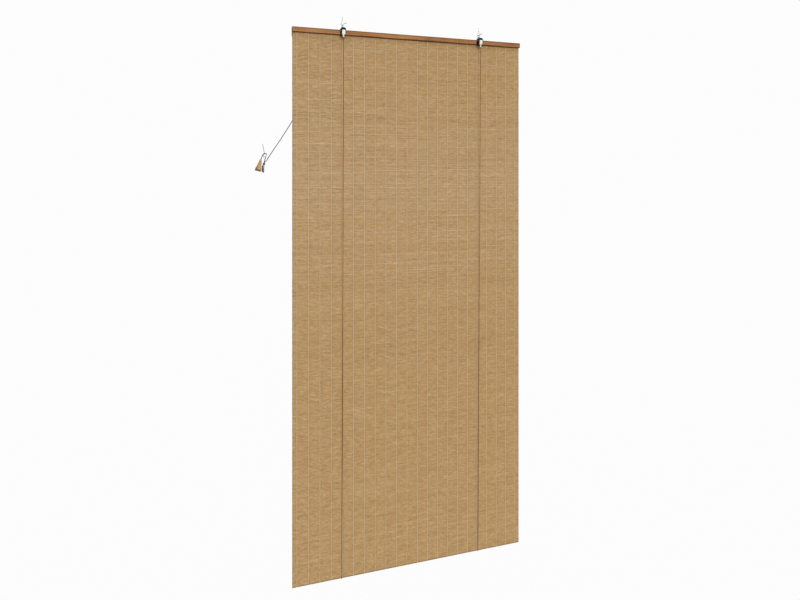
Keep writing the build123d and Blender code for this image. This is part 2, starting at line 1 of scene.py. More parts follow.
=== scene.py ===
import bpy
import math
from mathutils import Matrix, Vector


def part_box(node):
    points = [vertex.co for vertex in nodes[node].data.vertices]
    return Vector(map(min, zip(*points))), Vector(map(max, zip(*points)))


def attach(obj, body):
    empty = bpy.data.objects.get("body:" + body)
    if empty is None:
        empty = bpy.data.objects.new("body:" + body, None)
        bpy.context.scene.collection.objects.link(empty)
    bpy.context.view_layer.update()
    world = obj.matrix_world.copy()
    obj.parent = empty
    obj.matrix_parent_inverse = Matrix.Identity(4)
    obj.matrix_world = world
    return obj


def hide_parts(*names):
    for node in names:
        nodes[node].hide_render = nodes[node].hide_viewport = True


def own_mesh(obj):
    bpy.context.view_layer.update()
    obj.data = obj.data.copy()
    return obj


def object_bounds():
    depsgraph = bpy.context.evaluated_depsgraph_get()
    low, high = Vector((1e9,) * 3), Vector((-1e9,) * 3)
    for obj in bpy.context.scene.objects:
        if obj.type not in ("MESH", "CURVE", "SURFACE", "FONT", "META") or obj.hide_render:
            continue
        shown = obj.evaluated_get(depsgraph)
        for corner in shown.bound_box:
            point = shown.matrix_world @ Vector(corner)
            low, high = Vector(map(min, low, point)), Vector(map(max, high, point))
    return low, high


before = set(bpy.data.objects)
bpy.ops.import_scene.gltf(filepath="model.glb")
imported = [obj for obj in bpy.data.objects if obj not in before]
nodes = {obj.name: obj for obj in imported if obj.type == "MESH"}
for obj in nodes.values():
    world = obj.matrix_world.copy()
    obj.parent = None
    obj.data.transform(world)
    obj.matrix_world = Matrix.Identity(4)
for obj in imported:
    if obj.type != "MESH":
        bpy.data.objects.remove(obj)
cad_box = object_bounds()

# Splints of the mat: metres, or shares of the pitch and of the splint's own size
splint_count = 414
splint_fill_share = 0.995
splint_edge_share = 0.24
splint_flat_share = 0.48
splint_spans = 7
splint_end_ring = 0.0005
splint_length_shares = (0.9988, 1.0)
splint_depth_shares = (0.9, 1.0)
splint_height_shares = (0.955, 1.0)
splint_wander = (0.0, 0.0002, 0.0009)
splint_seed = 11

# Warp threads
thread_count = 22
thread_side_inset = 0.0185
thread_half_width = 0.0011
thread_half_thickness = 0.00034
thread_stand_off = 0.0002
thread_dip = 0.0005

# Cords, and the places where their straight runs end
cord_radius = 0.001
pull_cord_radius = 0.0015
hanger_x = 0.3
front_top_z = -0.055
rear_top_z = -0.05945
run_foot_z = -2.22

sides = ("left", "right")


# Small helpers for node trees


def put(tree, kind, inputs=None, **settings):
    made = tree.nodes.new(kind)
    for name, value in settings.items():
        setattr(made, name, value)
    for name, value in (inputs or {}).items():
        if isinstance(value, bpy.types.NodeSocket):
            tree.links.new(value, made.inputs[name])
        else:
            made.inputs[name].default_value = value
    return made


def maths(tree, operation, a, b=0.0, clamp=False):
    return put(tree, "ShaderNodeMath", {0: a, 1: b}, operation=operation, use_clamp=clamp).outputs[0]


def weighed(tree, *pairs):
    # Sum of values, each times its share
    total = None
    for value, share in pairs:
        part = maths(tree, "MULTIPLY", value, share)
        total = part if total is None else maths(tree, "ADD", total, part)
    return total


def vectors(tree, operation, a, b):
    return put(tree, "ShaderNodeVectorMath", {0: a, 1: b}, operation=operation)


def split(tree, vector):
    return put(tree, "ShaderNodeSeparateXYZ", {"Vector": vector}).outputs


def spread(tree, value, low, high, to_low, to_high):
    made = put(
        tree,
        "ShaderNodeMapRange",
        {"Value": value, "From Min": low, "From Max": high, "To Min": to_low, "To Max": to_high},
    )
    return made.outputs["Result"]


def ramp(tree, value, *stops):
    made = put(tree, "ShaderNodeValToRGB", {"Fac": value})
    band = made.color_ramp
    while len(band.elements) < len(stops):
        band.elements.new(0.5)
    for element, (place, colour) in zip(band.elements, stops):
        element.position = place
        element.color = (*colour, 1.0)
    return made.outputs["Color"]


def noise(tree, vector, scale, detail=4.0, roughness=0.55, distortion=0.0):
    settings = {"Scale": scale, "Detail": detail, "Roughness": roughness, "Distortion": distortion}
    return put(tree, "ShaderNodeTexNoise", {"Vector": vector, **settings}).outputs["Fac"]


def stretched(tree, vector, scale, turn=(0.0, 0.0, 0.0)):
    made = put(tree, "ShaderNodeMapping", {"Vector": vector, "Scale": scale, "Rotation": turn})
    return made.outputs["Vector"]


def mixed(tree, share, a, b):
    made = put(tree, "ShaderNodeMix", data_type="RGBA")
    for place, value in ((0, share), (6, a), (7, b)):
        if isinstance(value, bpy.types.NodeSocket):
            tree.links.new(value, made.inputs[place])
        elif place == 0:
            made.inputs[0].default_value = value
        else:
            made.inputs[place].default_value = (*value, 1.0)
    return made.outputs[2]


def finish_start(name):
    finish = bpy.data.materials.new(name)
    finish.use_nodes = True
    tree = finish.node_tree
    shader = tree.nodes["Principled BSDF"]
    place = put(tree, "ShaderNodeTexCoord").outputs
    return finish, tree, shader, place


def surface(tree, shader, colour, rough, height, depth, strength):
    tree.links.new(colour, shader.inputs["Base Color"])
    tree.links.new(rough, shader.inputs["Roughness"])
    bump = put(tree, "ShaderNodeBump", {"Height": height, "Distance": depth, "Strength": strength})
    tree.links.new(bump.outputs["Normal"], shader.inputs["Normal"])


def srgb(*seen):
    # Colour written as it is seen, turned into light values
    shares = [channel / 255 for channel in seen]
    return tuple(s / 12.92 if s <= 0.04 else ((s + 0.055) / 1.055) ** 2.4 for s in shares)


# Finishes


def long_grain_wood(name, dark, middle, light, along, fine, darkening, half_length, edge_zs=()):
    # Grain runs along the piece: long streaks, soft clouds and short pores.
    # A darker colour in bands along the edges, each given as edge, inside and share, and at the ends, where
    # it is stain.
    finish, tree, shader, place = finish_start(name)
    at = place["Object"]
    streaks = noise(tree, stretched(tree, at, along), 1.0, 6.0, 0.62, 0.35)
    pores = noise(tree, stretched(tree, at, fine), 1.0, 2.0, 0.5)
    cloud = noise(tree, at, 9.0, 2.0)
    tone = weighed(tree, (streaks, 0.68), (cloud, 0.32))
    body = ramp(tree, tone, (0.34, dark), (0.5, middle), (0.68, light))
    dots = spread(tree, pores, 0.56, 0.7, 0.0, 0.45)
    colour = mixed(tree, dots, body, dark)
    parts = split(tree, at)
    wavy = maths(tree, "ADD", parts["Z"], spread(tree, streaks, 0.3, 0.7, -0.001, 0.001))
    # Bands of the darker colour along the edges; on the rail the lower band is painted shade
    for edge_z, inside_z, share in edge_zs:
        colour = mixed(tree, spread(tree, wavy, inside_z, edge_z, 0.0, share), colour, darkening)
    from_end = maths(tree, "SUBTRACT", half_length, maths(tree, "ABSOLUTE", parts["X"]))
    colour = mixed(tree, spread(tree, from_end, 0.0002, 0.0016, 0.8, 0.0), colour, darkening)
    rough = spread(tree, tone, 0.3, 0.7, 0.66, 0.52)
    height = maths(tree, "SUBTRACT", tone, maths(tree, "MULTIPLY", dots, 0.5))
    surface(tree, shader, colour, rough, height, 0.0006, 0.6)
    shader.inputs["Specular IOR Level"].default_value = 0.2
    return finish


rail_wood = long_grain_wood(
    "rail_wood",
    dark=srgb(108, 66, 30),
    middle=srgb(168, 114, 64),
    light=srgb(192, 140, 88),
    along=(5.0, 120.0, 190.0),
    fine=(40.0, 900.0, 1600.0),
    darkening=srgb(74, 40, 16),
    half_length=0.5,
    # Darker along the top edge, and painted shade along the bottom edge: the rail's shaded underside and the
    # shadow just below it
    edge_zs=((-0.0415, -0.0465, 0.6), (-0.0592, -0.0562, 0.9)),
)
strip_wood = long_grain_wood(
    "strip_wood",
    dark=srgb(158, 114, 66),
    middle=srgb(191, 147, 95),
    light=srgb(210, 172, 122),
    along=(4.0, 110.0, 150.0),
    fine=(36.0, 800.0, 1400.0),
    darkening=srgb(120, 82, 44),
    half_length=0.5,
)


def split_bamboo():
    # Each splint has its own tone and its own place for the joints of the cane
    joint_pitch = 0.337
    finish, tree, shader, place = finish_start("split_bamboo")
    at = place["Object"]
    own_tone = put(tree, "ShaderNodeAttribute", attribute_name="splint_tone").outputs["Fac"]
    own_shift = put(tree, "ShaderNodeAttribute", attribute_name="splint_shift").outputs["Fac"]
    parts = split(tree, at)
    shifted = maths(tree, "ADD", parts["X"], maths(tree, "MULTIPLY", own_shift, 9.0))
    fibre_at = put(tree, "ShaderNodeCombineXYZ", {"X": shifted, "Y": parts["Y"], "Z": parts["Z"]}).outputs[0]
    fibres = noise(tree, stretched(tree, fibre_at, (26.0, 900.0, 420.0)), 1.0, 5.0, 0.65)
    drift = noise(tree, stretched(tree, fibre_at, (52.0, 1.0, 170.0)), 1.0, 3.0)
    bands = noise(tree, stretched(tree, at, (7.0, 0.0, 46.0)), 1.0, 2.0)
    tone = weighed(tree, (own_tone, 0.05), (fibres, 0.55), (drift, 0.6), (bands, 0.08))
    centred = maths(tree, "SUBTRACT", tone, 0.14)
    body = ramp(
        tree,
        centred,
        (0.3, srgb(150, 111, 65)),
        (0.46, srgb(178, 142, 92)),
        (0.54, srgb(187, 151, 102)),
        (0.72, srgb(211, 180, 133)),
    )
    # Joints of the cane: a dark line with a paler ring beside it
    turn = maths(tree, "FRACT", maths(tree, "DIVIDE", shifted, joint_pitch))
    from_joint = maths(tree, "ABSOLUTE", maths(tree, "SUBTRACT", turn, 0.5))
    line = spread(tree, from_joint, 0.003, 0.009, 0.45, 0.0)
    halo = spread(tree, from_joint, 0.01, 0.034, 0.2, 0.0)
    pale = mixed(tree, halo, body, srgb(214, 188, 150))
    colour = mixed(tree, line, pale, srgb(104, 72, 42))
    # Painted shade in a stripe beside each thread, where the thread shades the splints
    low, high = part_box("bamboo_mat")
    first_x = low[0] + thread_side_inset
    step = (high[0] - low[0] - 2 * thread_side_inset) / (thread_count - 1)
    thread_turns = maths(tree, "DIVIDE", maths(tree, "SUBTRACT", parts["X"], first_x), step)
    from_thread = maths(tree, "SUBTRACT", thread_turns, maths(tree, "ROUND", thread_turns))
    aside = maths(tree, "MULTIPLY", maths(tree, "ABSOLUTE", from_thread), step)
    colour = mixed(tree, spread(tree, aside, 0.002, 0.0065, 0.16, 0.0), colour, srgb(120, 88, 52))
    # Darker along the cut ends and along the lowest splint
    from_end = maths(tree, "SUBTRACT", high[0], maths(tree, "ABSOLUTE", parts["X"]))
    from_foot = maths(tree, "SUBTRACT", parts["Z"], low[2])
    nearest = maths(tree, "MINIMUM", from_end, maths(tree, "MULTIPLY", from_foot, 0.6))
    colour = mixed(tree, spread(tree, nearest, 0.0015, 0.0035, 0.6, 0.0), colour, srgb(100, 76, 48))
    rough = spread(tree, fibres, 0.3, 0.7, 0.6, 0.44)
    height = weighed(tree, (fibres, 0.7), (line, 0.5))
    surface(tree, shader, colour, rough, height, 0.0004, 0.55)
    shader.inputs["Specular IOR Level"].default_value = 0.4
    return finish


bamboo = split_bamboo()


def cane():
    # Whole cane for the rod: straw colour, fine fibres along it and darker joints
    joint_shares = (0.11, 0.37, 0.64, 0.88)
    finish, tree, shader, place = finish_start("cane")
    at = place["Object"]
    fibres = noise(tree, stretched(tree, at, (9.0, 700.0, 700.0)), 1.0, 5.0, 0.6)
    cloud = noise(tree, stretched(tree, at, (6.0, 40.0, 40.0)), 1.0, 3.0)
    tone = weighed(tree, (fibres, 0.5), (cloud, 0.5))
    straw = ((0.3, srgb(160, 122, 74)), (0.5, srgb(192, 156, 102)), (0.7, srgb(212, 182, 132)))
    colour = ramp(tree, tone, *straw)
    along = split(tree, at)["X"]
    low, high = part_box("bottom_rod")
    for share in joint_shares:
        joint_x = low[0] + (high[0] - low[0]) * share
        off = maths(tree, "ABSOLUTE", maths(tree, "SUBTRACT", along, joint_x))
        colour = mixed(tree, spread(tree, off, 0.001, 0.0032, 0.7, 0.0), colour, srgb(112, 78, 44))
    rough = spread(tree, tone, 0.3, 0.7, 0.46, 0.3)
    surface(tree, shader, colour, rough, fibres, 0.0003, 0.4)
    return finish


rod_cane = cane()


def cotton(name, shade, pale, pitch, lean):
    # Twisted cotton: slanting plies with fuzz between them
    finish, tree, shader, place = finish_start(name)
    at = place["Object"]
    parts = split(tree, at)
    slant = maths(tree, "ADD", parts["Z"], maths(tree, "MULTIPLY", parts["X"], lean))
    plies = maths(tree, "SINE", maths(tree, "MULTIPLY", slant, 2 * math.pi / pitch))
    fuzz = noise(tree, at, 2600.0, 3.0, 0.7)
    twist = spread(tree, plies, -1.0, 1.0, 0.0, 0.62)
    tone = maths(tree, "ADD", twist, maths(tree, "MULTIPLY", fuzz, 0.38))
    colour = ramp(tree, tone, (0.12, shade), (0.62, pale))
    rough = spread(tree, fuzz, 0.3, 0.7, 0.95, 0.8)
    surface(tree, shader, colour, rough, tone, 0.0003, 0.8)
    shader.inputs["Sheen Weight"].default_value = 0.15
    shader.inputs["Sheen Roughness"].default_value = 0.5
    return finish


warp_cotton = cotton("warp_cotton", srgb(198, 170, 128), srgb(236, 215, 179), pitch=0.0013, lean=0.7)


def braided_cord(name, dark, middle, light):
    # Braid on the cord's own map: U runs along it in metres, V once round it
    braid_pitch = 0.0026
    strands_round = 3.0
    finish, tree, shader, place = finish_start(name)
    run = split(tree, place["UV"])
    along = maths(tree, "DIVIDE", run["X"], braid_pitch)
    around = maths(tree, "MULTIPLY", run["Y"], strands_round)
    waves = []
    for way in ("ADD", "SUBTRACT"):
        turns = maths(tree, way, along, around)
        waves.append(maths(tree, "SINE", maths(tree, "MULTIPLY", turns, 2 * math.pi)))
    braid = spread(tree, maths(tree, "MAXIMUM", *waves), -0.6, 1.0, 0.0, 1.0)
    fuzz = noise(tree, place["Object"], 1900.0, 3.0, 0.7)
    tone = weighed(tree, (braid, 0.7), (fuzz, 0.3))
    colour = ramp(tree, tone, (0.2, dark), (0.62, middle), (0.9, light))
    rough = spread(tree, fuzz, 0.3, 0.7, 0.92, 0.74)
    surface(tree, shader, colour, rough, tone, 0.0004, 0.8)
    shader.inputs["Specular IOR Level"].default_value = 0.12
    shader.inputs["Sheen Weight"].default_value = 0.03
    shader.inputs["Sheen Roughness"].default_value = 0.5
    return finish


lift_braid = braided_cord("lift_braid", srgb(54, 28, 8), srgb(114, 66, 20), srgb(146, 94, 38))
pull_braid = braided_cord("pull_braid", srgb(32, 25, 18), srgb(68, 57, 44), srgb(98, 85, 68))


def black_enamel():
    # Thin black coat with a slight orange peel, greyer where it has rubbed
    finish, tree, shader, place = finish_start("black_enamel")
    at = place["Object"]
    skin = noise(tree, at, 420.0, 4.0, 0.6)
    wear = spread(tree, noise(tree, at, 90.0, 6.0, 0.7), 0.62, 0.74, 0.0, 0.6)
    body = ramp(tree, skin, (0.3, srgb(12, 11, 11)), (0.7, srgb(26, 25, 24)))
    colour = mixed(tree, wear, body, srgb(52, 49, 46))
    rough = spread(tree, skin, 0.3, 0.7, 0.5, 0.68)
    surface(tree, shader, colour, rough, skin, 0.0002, 0.35)
    shader.inputs["Specular IOR Level"].default_value = 0.12
    return finish


enamel = black_enamel()


def zinc_plate():
    # Bright metal with dull clouds and a fine spangle
    finish, tree, shader, place = finish_start("zinc_plate")
    at = place["Object"]
    spangle = noise(tree, at, 700.0, 3.0, 0.6)
    dull = noise(tree, at, 120.0, 4.0, 0.6)
    colour = ramp(tree, dull, (0.3, srgb(128, 129, 130)), (0.7, srgb(186, 187, 188)))
    rough = spread(tree, spangle, 0.3, 0.7, 0.24, 0.42)
    surface(tree, shader, colour, rough, spangle, 0.0001, 0.3)
    shader.inputs["Metallic"].default_value = 1.0
    return finish


zinc = zinc_plate()


def white_nylon():
    # Moulded white, a little cloudy, with light going into it
    finish, tree, shader, place = finish_start("white_nylon")
    at = place["Object"]
    haze = noise(tree, at, 260.0, 3.0, 0.5)
    colour = ramp(tree, haze, (0.3, srgb(228, 224, 214)), (0.7, srgb(244, 242, 236)))
    rough = spread(tree, haze, 0.3, 0.7, 0.34, 0.46)
    surface(tree, shader, colour, rough, haze, 0.0001, 0.25)
    shader.inputs["Subsurface Weight"].default_value = 0.15
    shader.inputs["Subsurface Radius"].default_value = (0.001, 0.001, 0.0008)
    return finish


nylon = white_nylon()


def turned_wood(name, axis, foot, foot_height, foot_dark_share, shaded_side_share):
    # Turned piece: grain and fine lathe rings along its own axis, painted shade on one side, and a darker
    # foot
    ring_pitch = 0.0011
    finish, tree, shader, place = finish_start(name)
    at = place["Object"]
    from_foot = vectors(tree, "SUBTRACT", at, foot).outputs[0]
    height = vectors(tree, "DOT_PRODUCT", from_foot, axis).outputs["Value"]
    lean = math.atan2(axis[0], axis[2])
    grain_at = stretched(tree, at, (520.0, 520.0, 45.0), (0.0, -lean, 0.0))
    grain = noise(tree, grain_at, 1.0, 5.0, 0.6, 0.3)
    rings = maths(tree, "SINE", maths(tree, "MULTIPLY", height, 2 * math.pi / ring_pitch))
    honey = ((0.3, srgb(140, 100, 48)), (0.5, srgb(198, 158, 94)), (0.72, srgb(230, 202, 150)))
    body = ramp(tree, grain, *honey)
    # Painted shade darkening the left side, and a darker colour at the foot
    side_x = split(tree, from_foot)["X"]
    off_axis = maths(tree, "SUBTRACT", side_x, maths(tree, "MULTIPLY", height, axis[0] / axis[2]))
    streaky = maths(tree, "ADD", off_axis, spread(tree, grain, 0.3, 0.7, -0.002, 0.002))
    body = mixed(tree, spread(tree, streaky, -0.007, 0.002, shaded_side_share, 0.0), body, srgb(126, 82, 30))
    darkening = spread(tree, height, 0.6 * foot_height, foot_height, foot_dark_share, 0.0)
    colour = mixed(tree, darkening, body, srgb(52, 26, 12))
    rough = spread(tree, grain, 0.3, 0.7, 0.46, 0.34)
    relief = maths(tree, "ADD", grain, maths(tree, "MULTIPLY", rings, 0.15))
    surface(tree, shader, colour, rough, relief, 0.0003, 0.4)
    shader.inputs["Coat Weight"].default_value = 0.15
    shader.inputs["Coat Roughness"].default_value = 0.25
    return finish


pull_wood = turned_wood(
    "pull_wood",
    axis=(0.2672, 0.0, 0.9636),
    foot=(-0.62983, 0.029, -0.60575),
    foot_height=0.0085,
    foot_dark_share=0.92,
    # Painted shade on the left side of the pull
    shaded_side_share=0.7,
)
bead_wood = turned_wood(
    "bead_wood",
    axis=(0.5018, -0.0028, 0.865),
    foot=(-0.33008, 0.02747, -0.10633),
    foot_height=0.002,
    foot_dark_share=0.3,
    shaded_side_share=0.0,
)


# Solids that keep their own shape get their finish here


def dress(name, finish):
    solid = nodes[name]
    solid.data.materials.clear()
    solid.data.materials.append(finish)


dress("head_rail", rail_wood)
dress("clamp_strip", strip_wood)
dress("bottom_rod", rod_cane)
dress("cord_pull", pull_wood)
dress("cord_joiner", bead_wood)
for name in ("cord_hook", "rail_nails", "rod_nails"):
    dress(name, zinc)
zinc_pieces = ("bracket_screws", "sheave_axle", "screw_hook", "hanger_ring", "guide_eye", "anchor_screw")
for side in sides:
    dress(side + "_pulley_bracket", enamel)
    dress(side + "_sheave", nylon)
    dress(side + "_guide_spout", nylon)
    for piece in zinc_pieces:
        dress(side + "_" + piece, zinc)


# Making of pieces


def new_piece(name, data):
    made = bpy.data.objects.new(name, data)
    bpy.context.scene.collection.objects.link(made)
    return made


def settled_mesh(piece):
    # What the modifiers, or a curve's own steps, make of the piece
    graph = bpy.context.evaluated_depsgraph_get()
    graph.update()
    shown = piece.evaluated_get(graph)
    return bpy.data.meshes.new_from_object(shown, preserve_all_data_layers=True, depsgraph=graph)


def tree_with_inputs(name, inputs):
    tree = bpy.data.node_groups.new(name, "GeometryNodeTree")
    tree.interface.new_socket("Geometry", in_out="INPUT", socket_type="NodeSocketGeometry")
    for label, kind in inputs:
        tree.interface.new_socket(label, in_out="INPUT", socket_type=kind)
    tree.interface.new_socket("Geometry", in_out="OUTPUT", socket_type="NodeSocketGeometry")
    given = put(tree, "NodeGroupInput").outputs
    return tree, given


def tree_end(tree, laid, finish, moved=None):
    # Copies made real, moved where an offset is given, and dressed
    whole = put(tree, "GeometryNodeRealizeInstances", {"Geometry": laid}).outputs[0]
    if moved is not None:
        whole = put(tree, "GeometryNodeSetPosition", {"Geometry": whole, "Offset": moved}).outputs[0]
    done = put(tree, "GeometryNodeSetMaterial", {"Geometry": whole, "Material": finish})
    put(tree, "NodeGroupOutput", {"Geometry": done.outputs[0]})


def run_tree(piece, tree, values):
    # The result of the tree becomes the piece's plain mesh
    maker = piece.modifiers.new(tree.name, "NODES")
    maker.node_group = tree
    for socket in tree.interface.items_tree:
        if socket.in_out == "INPUT" and socket.name in values:
            maker[socket.identifier] = values[socket.name]
    mesh = settled_mesh(piece)
    before = piece.data
    piece.modifiers.clear()
    piece.data = mesh
    bpy.data.meshes.remove(before)


def splint_blank(length, height, thickness, edge):
    # One splint: an eight-sided bar with rings along it, so that it can wander, and one close to each end
    half, crest = height / 2, thickness / 2
    flat = half * splint_flat_share
    end = length / 2
    inner = end - splint_end_ring
    xs = [-end, *(-inner + 2 * inner * ring / splint_spans for ring in range(splint_spans + 1)), end]
    rings = len(xs)
    front = [(-edge, -half), (-crest, -flat), (-crest, flat), (-edge, half)]
    outline = front + [(-y, -z) for y, z in front]
    count = len(outline)
    points, faces = [], []
    for x in xs:
        points += [(x, y, z) for y, z in outline]
    for ring in range(rings - 1):
        for i in range(count):
            a, b = ring * count + i, ring * count + (i + 1) % count
            faces.append((a, a + count, b + count, b))
    faces.append(tuple(range(count)))
    faces.append(tuple(reversed(range((rings - 1) * count, rings * count))))
    mesh = bpy.data.meshes.new("splint_blank")
    mesh.from_pydata(points, [], faces)
    for face in mesh.polygons:
        face.use_smooth = len(face.vertices) == 4
    return mesh


def mat_tree():
    # Splints one above the other, each with its own size, tone and shift, and each wandering a little
    waves_per_metre = 3.1
    wave_spread = 91.0
    tree, given = tree_with_inputs(
        "splint_mat",
        (
            ("Splints", "NodeSocketInt"),
            ("First", "NodeSocketVector"),
            ("Step", "NodeSocketVector"),
            ("Wander", "NodeSocketVector"),
            ("Seed", "NodeSocketInt"),
            ("Finish", "NodeSocketMaterial"),
        ),
    )
    places = put(
        tree,
        "GeometryNodeMeshLine",
        {"Count": given["Splints"], "Start Location": given["First"], "Offset": given["Step"]},
        mode="OFFSET",
    )

    def chance(extra, low=0.0, high=1.0):
        seed = maths(tree, "ADD", given["Seed"], float(extra))
        made = put(tree, "FunctionNodeRandomValue", data_type="FLOAT")
        made.inputs[2].default_value = low
        made.inputs[3].default_value = high
        tree.links.new(seed, made.inputs["Seed"])
        return made.outputs[1]

    own_size = {
        "X": chance(1, *splint_length_shares),
        "Y": chance(2, *splint_depth_shares),
        "Z": chance(3, *splint_height_shares),
    }
    size = put(tree, "ShaderNodeCombineXYZ", own_size)
    laid = put(
        tree,
        "GeometryNodeInstanceOnPoints",
        {"Points": places.outputs["Mesh"], "Instance": given["Geometry"], "Scale": size.outputs[0]},
    )
    toned = laid.outputs["Instances"]
    for label, extra in (("splint_tone", 4), ("splint_shift", 5)):
        stored = put(
            tree,
            "GeometryNodeStoreNamedAttribute",
            {"Geometry": toned, "Name": label, "Value": chance(extra)},
            data_type="FLOAT",
            domain="INSTANCE",
        )
        toned = stored.outputs["Geometry"]
    shift = put(tree, "GeometryNodeInputNamedAttribute", {"Name": "splint_shift"}, data_type="FLOAT")
    where = split(tree, put(tree, "GeometryNodeInputPosition").outputs[0])
    along = maths(tree, "MULTIPLY", where["X"], waves_per_metre)
    own = maths(tree, "MULTIPLY", shift.outputs["Attribute"], wave_spread)
    look = put(tree, "ShaderNodeCombineXYZ", {"X": along, "Y": own}).outputs[0]
    wave = put(tree, "ShaderNodeTexNoise", {"Vector": look, "Scale": 1.0, "Detail": 1.0})
    centred = vectors(tree, "SUBTRACT", wave.outputs["Color"], (0.5, 0.5, 0.5)).outputs[0]
    moved = vectors(tree, "MULTIPLY", centred, given["Wander"]).outputs[0]
    tree_end(tree, toned, given["Finish"], moved)
    return tree


mat_low, mat_high = (Vector(corner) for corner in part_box("bamboo_mat"))
mat_middle = (mat_low + mat_high) / 2
mat_size = mat_high - mat_low
pitch = mat_size.z / splint_count
mat = new_piece(
    "bamboo_splints",
    splint_blank(mat_size.x, pitch * splint_fill_share, mat_size.y, mat_size.y * splint_edge_share),
)
run_tree(
    mat,
    mat_tree(),
    {
        "Splints": splint_count,
        "First": (mat_middle.x, mat_middle.y, mat_low.z + pitch / 2),
        "Step": (0.0, 0.0, pitch),
        "Wander": splint_wander,
        "Seed": splint_seed,
        "Finish": bamboo,
    },
)


def thread_tree():
    # Flat threads side by side, each dipping in between the splints
    tree, given = tree_with_inputs(
        "warp_threads",
        (
            ("Threads", "NodeSocketInt"),
            ("First", "NodeSocketVector"),
            ("Step", "NodeSocketVector"),
            ("Length", "NodeSocketVector"),
            ("Points", "NodeSocketInt"),
            ("Dip", "NodeSocketVector"),
            ("Half width", "NodeSocketFloat"),
            ("Flatten", "NodeSocketVector"),
            ("Finish", "NodeSocketMaterial"),
        ),
    )
    line = put(tree, "GeometryNodeCurvePrimitiveLine", {"End": given["Length"]})
    fine = put(tree, "GeometryNodeResampleCurve", {"Curve": line.outputs[0], "Count": given["Points"]})
    odd = maths(tree, "MODULO", put(tree, "GeometryNodeInputIndex").outputs[0], 2.0)
    even = maths(tree, "SUBTRACT", 1.0, odd)
    dip = put(tree, "ShaderNodeVectorMath", {0: given["Dip"], "Scale": even}, operation="SCALE")
    wavy = put(tree, "GeometryNodeSetPosition", {"Geometry": fine.outputs[0], "Offset": dip.outputs[0]})
    ring = put(tree, "GeometryNodeCurvePrimitiveCircle", {"Resolution": 4, "Radius": given["Half width"]})
    body = put(
        tree,
        "GeometryNodeCurveToMesh",
        {"Curve": wavy.outputs[0], "Profile Curve": ring.outputs[0], "Fill Caps": True},
    )
    flat = put(tree, "GeometryNodeTransform", {"Geometry": body.outputs[0], "Scale": given["Flatten"]})
    smooth = put(tree, "GeometryNodeSetShadeSmooth", {"Geometry": flat.outputs[0], "Shade Smooth": True})
    places = put(
        tree,
        "GeometryNodeMeshLine",
        {"Count": given["Threads"], "Start Location": given["First"], "Offset": given["Step"]},
        mode="OFFSET",
    )
    laid = put(
        tree,
        "GeometryNodeInstanceOnPoints",
        {"Points": places.outputs["Mesh"], "Instance": smooth.outputs[0]},
    )
    tree_end(tree, laid.outputs["Instances"], given["Finish"])
    return tree


warp_tree = thread_tree()
thread_step = (mat_size.x - 2 * thread_side_inset) / (thread_count - 1)
flatten = thread_half_thickness / thread_half_width
threads = []
for label, face_y, way in (("warp_front", mat_low.y, 1.0), ("warp_back", mat_high.y, -1.0)):
    piece = new_piece(label, bpy.data.meshes.new(label))
    run_tree(
        piece,
        warp_tree,
        {
            "Threads": thread_count,
            "First": (mat_low.x + thread_side_inset, face_y - way * thread_stand_off, mat_low.z),
            "Step": (thread_step, 0.0, 0.0),
            "Length": (0.0, 0.0, mat_size.z),
            "Points": 2 * splint_count + 1,
            "Dip": (0.0, way * thread_dip / flatten, 0.0),
            "Half width": thread_half_width,
            "Flatten": (1.0, flatten, 1.0),
            "Finish": warp_cotton,
        },
    )
    threads.append(piece)


# Cords: one smooth line drawn by the route's points, then a tube with its own map


def smooth_line(points):
    curve = bpy.data.curves.new("route", "CURVE")
    curve.dimensions = "3D"
    spline = curve.splines.new("NURBS")
    spline.points.add(len(points) - 1)
    for place, point in zip(spline.points, points):
        place.co = (*point, 1.0)
    spline.order_u = 3
    spline.use_endpoint_u = True
    spline.resolution_u = 10
    holder = new_piece("route", curve)
    mesh = settled_mesh(holder)
    line = [v.co.copy() for v in mesh.vertices]
    bpy.data.meshes.remove(mesh)
    bpy.data.objects.remove(holder)
    bpy.data.curves.remove(curve)
    return line


def cord_tube(name, line, radius=cord_radius, around=10, finish=lift_braid):
    # Rings square to the line, carried along it without twist, with U along and V round
    points, faces, maps = [], [], []
    run = [0.0]
    for a, b in zip(line, line[1:]):
        run.append(run[-1] + (b - a).length)
    way = (line[1] - line[0]).normalized()
    out = way.orthogonal().normalized()
    for i, middle in enumerate(line):
        ahead = (line[min(i + 1, len(line) - 1)] - line[max(i - 1, 0)]).normalized()
        out = (way.rotation_difference(ahead) @ out).normalized()
        way = ahead
        across = way.cross(out)
        for k in range(around):
            turn = 2 * math.pi * k / around
            points.append(middle + (out * math.cos(turn) + across * math.sin(turn)) * radius)
    for i in range(len(line) - 1):
        for k in range(around):
            a, b = i * around + k, i * around + (k + 1) % around
            faces.append((a, b, b + around, a + around))
            u0, u1, v0, v1 = run[i], run[i + 1], k / around, (k + 1) / around
            maps += [(u0, v0), (u0, v1), (u1, v1), (u1, v0)]
    foot = (len(line) - 1) * around
    faces.append(tuple(reversed(range(around))))
    faces.append(tuple(range(foot, foot + around)))
    for end in (run[0], run[-1]):
        maps += [(end, k / around) for k in range(around)]
    mesh = bpy.data.meshes.new(name)
    mesh.from_pydata([tuple(p) for p in points], [], faces)
    layer = mesh.uv_layers.new(name="UVMap")
    for loop, place in zip(layer.data, maps):
        loop.uv = place
    for face in mesh.polygons:
        face.use_smooth = len(face.vertices) == 4
    rims = {*range(around), *range(foot, foot + around)}
    for edge in mesh.edges:
        edge.use_edge_sharp = rims.issuperset(edge.vertices)
    mesh.materials.append(finish)
    return new_piece(name, mesh)


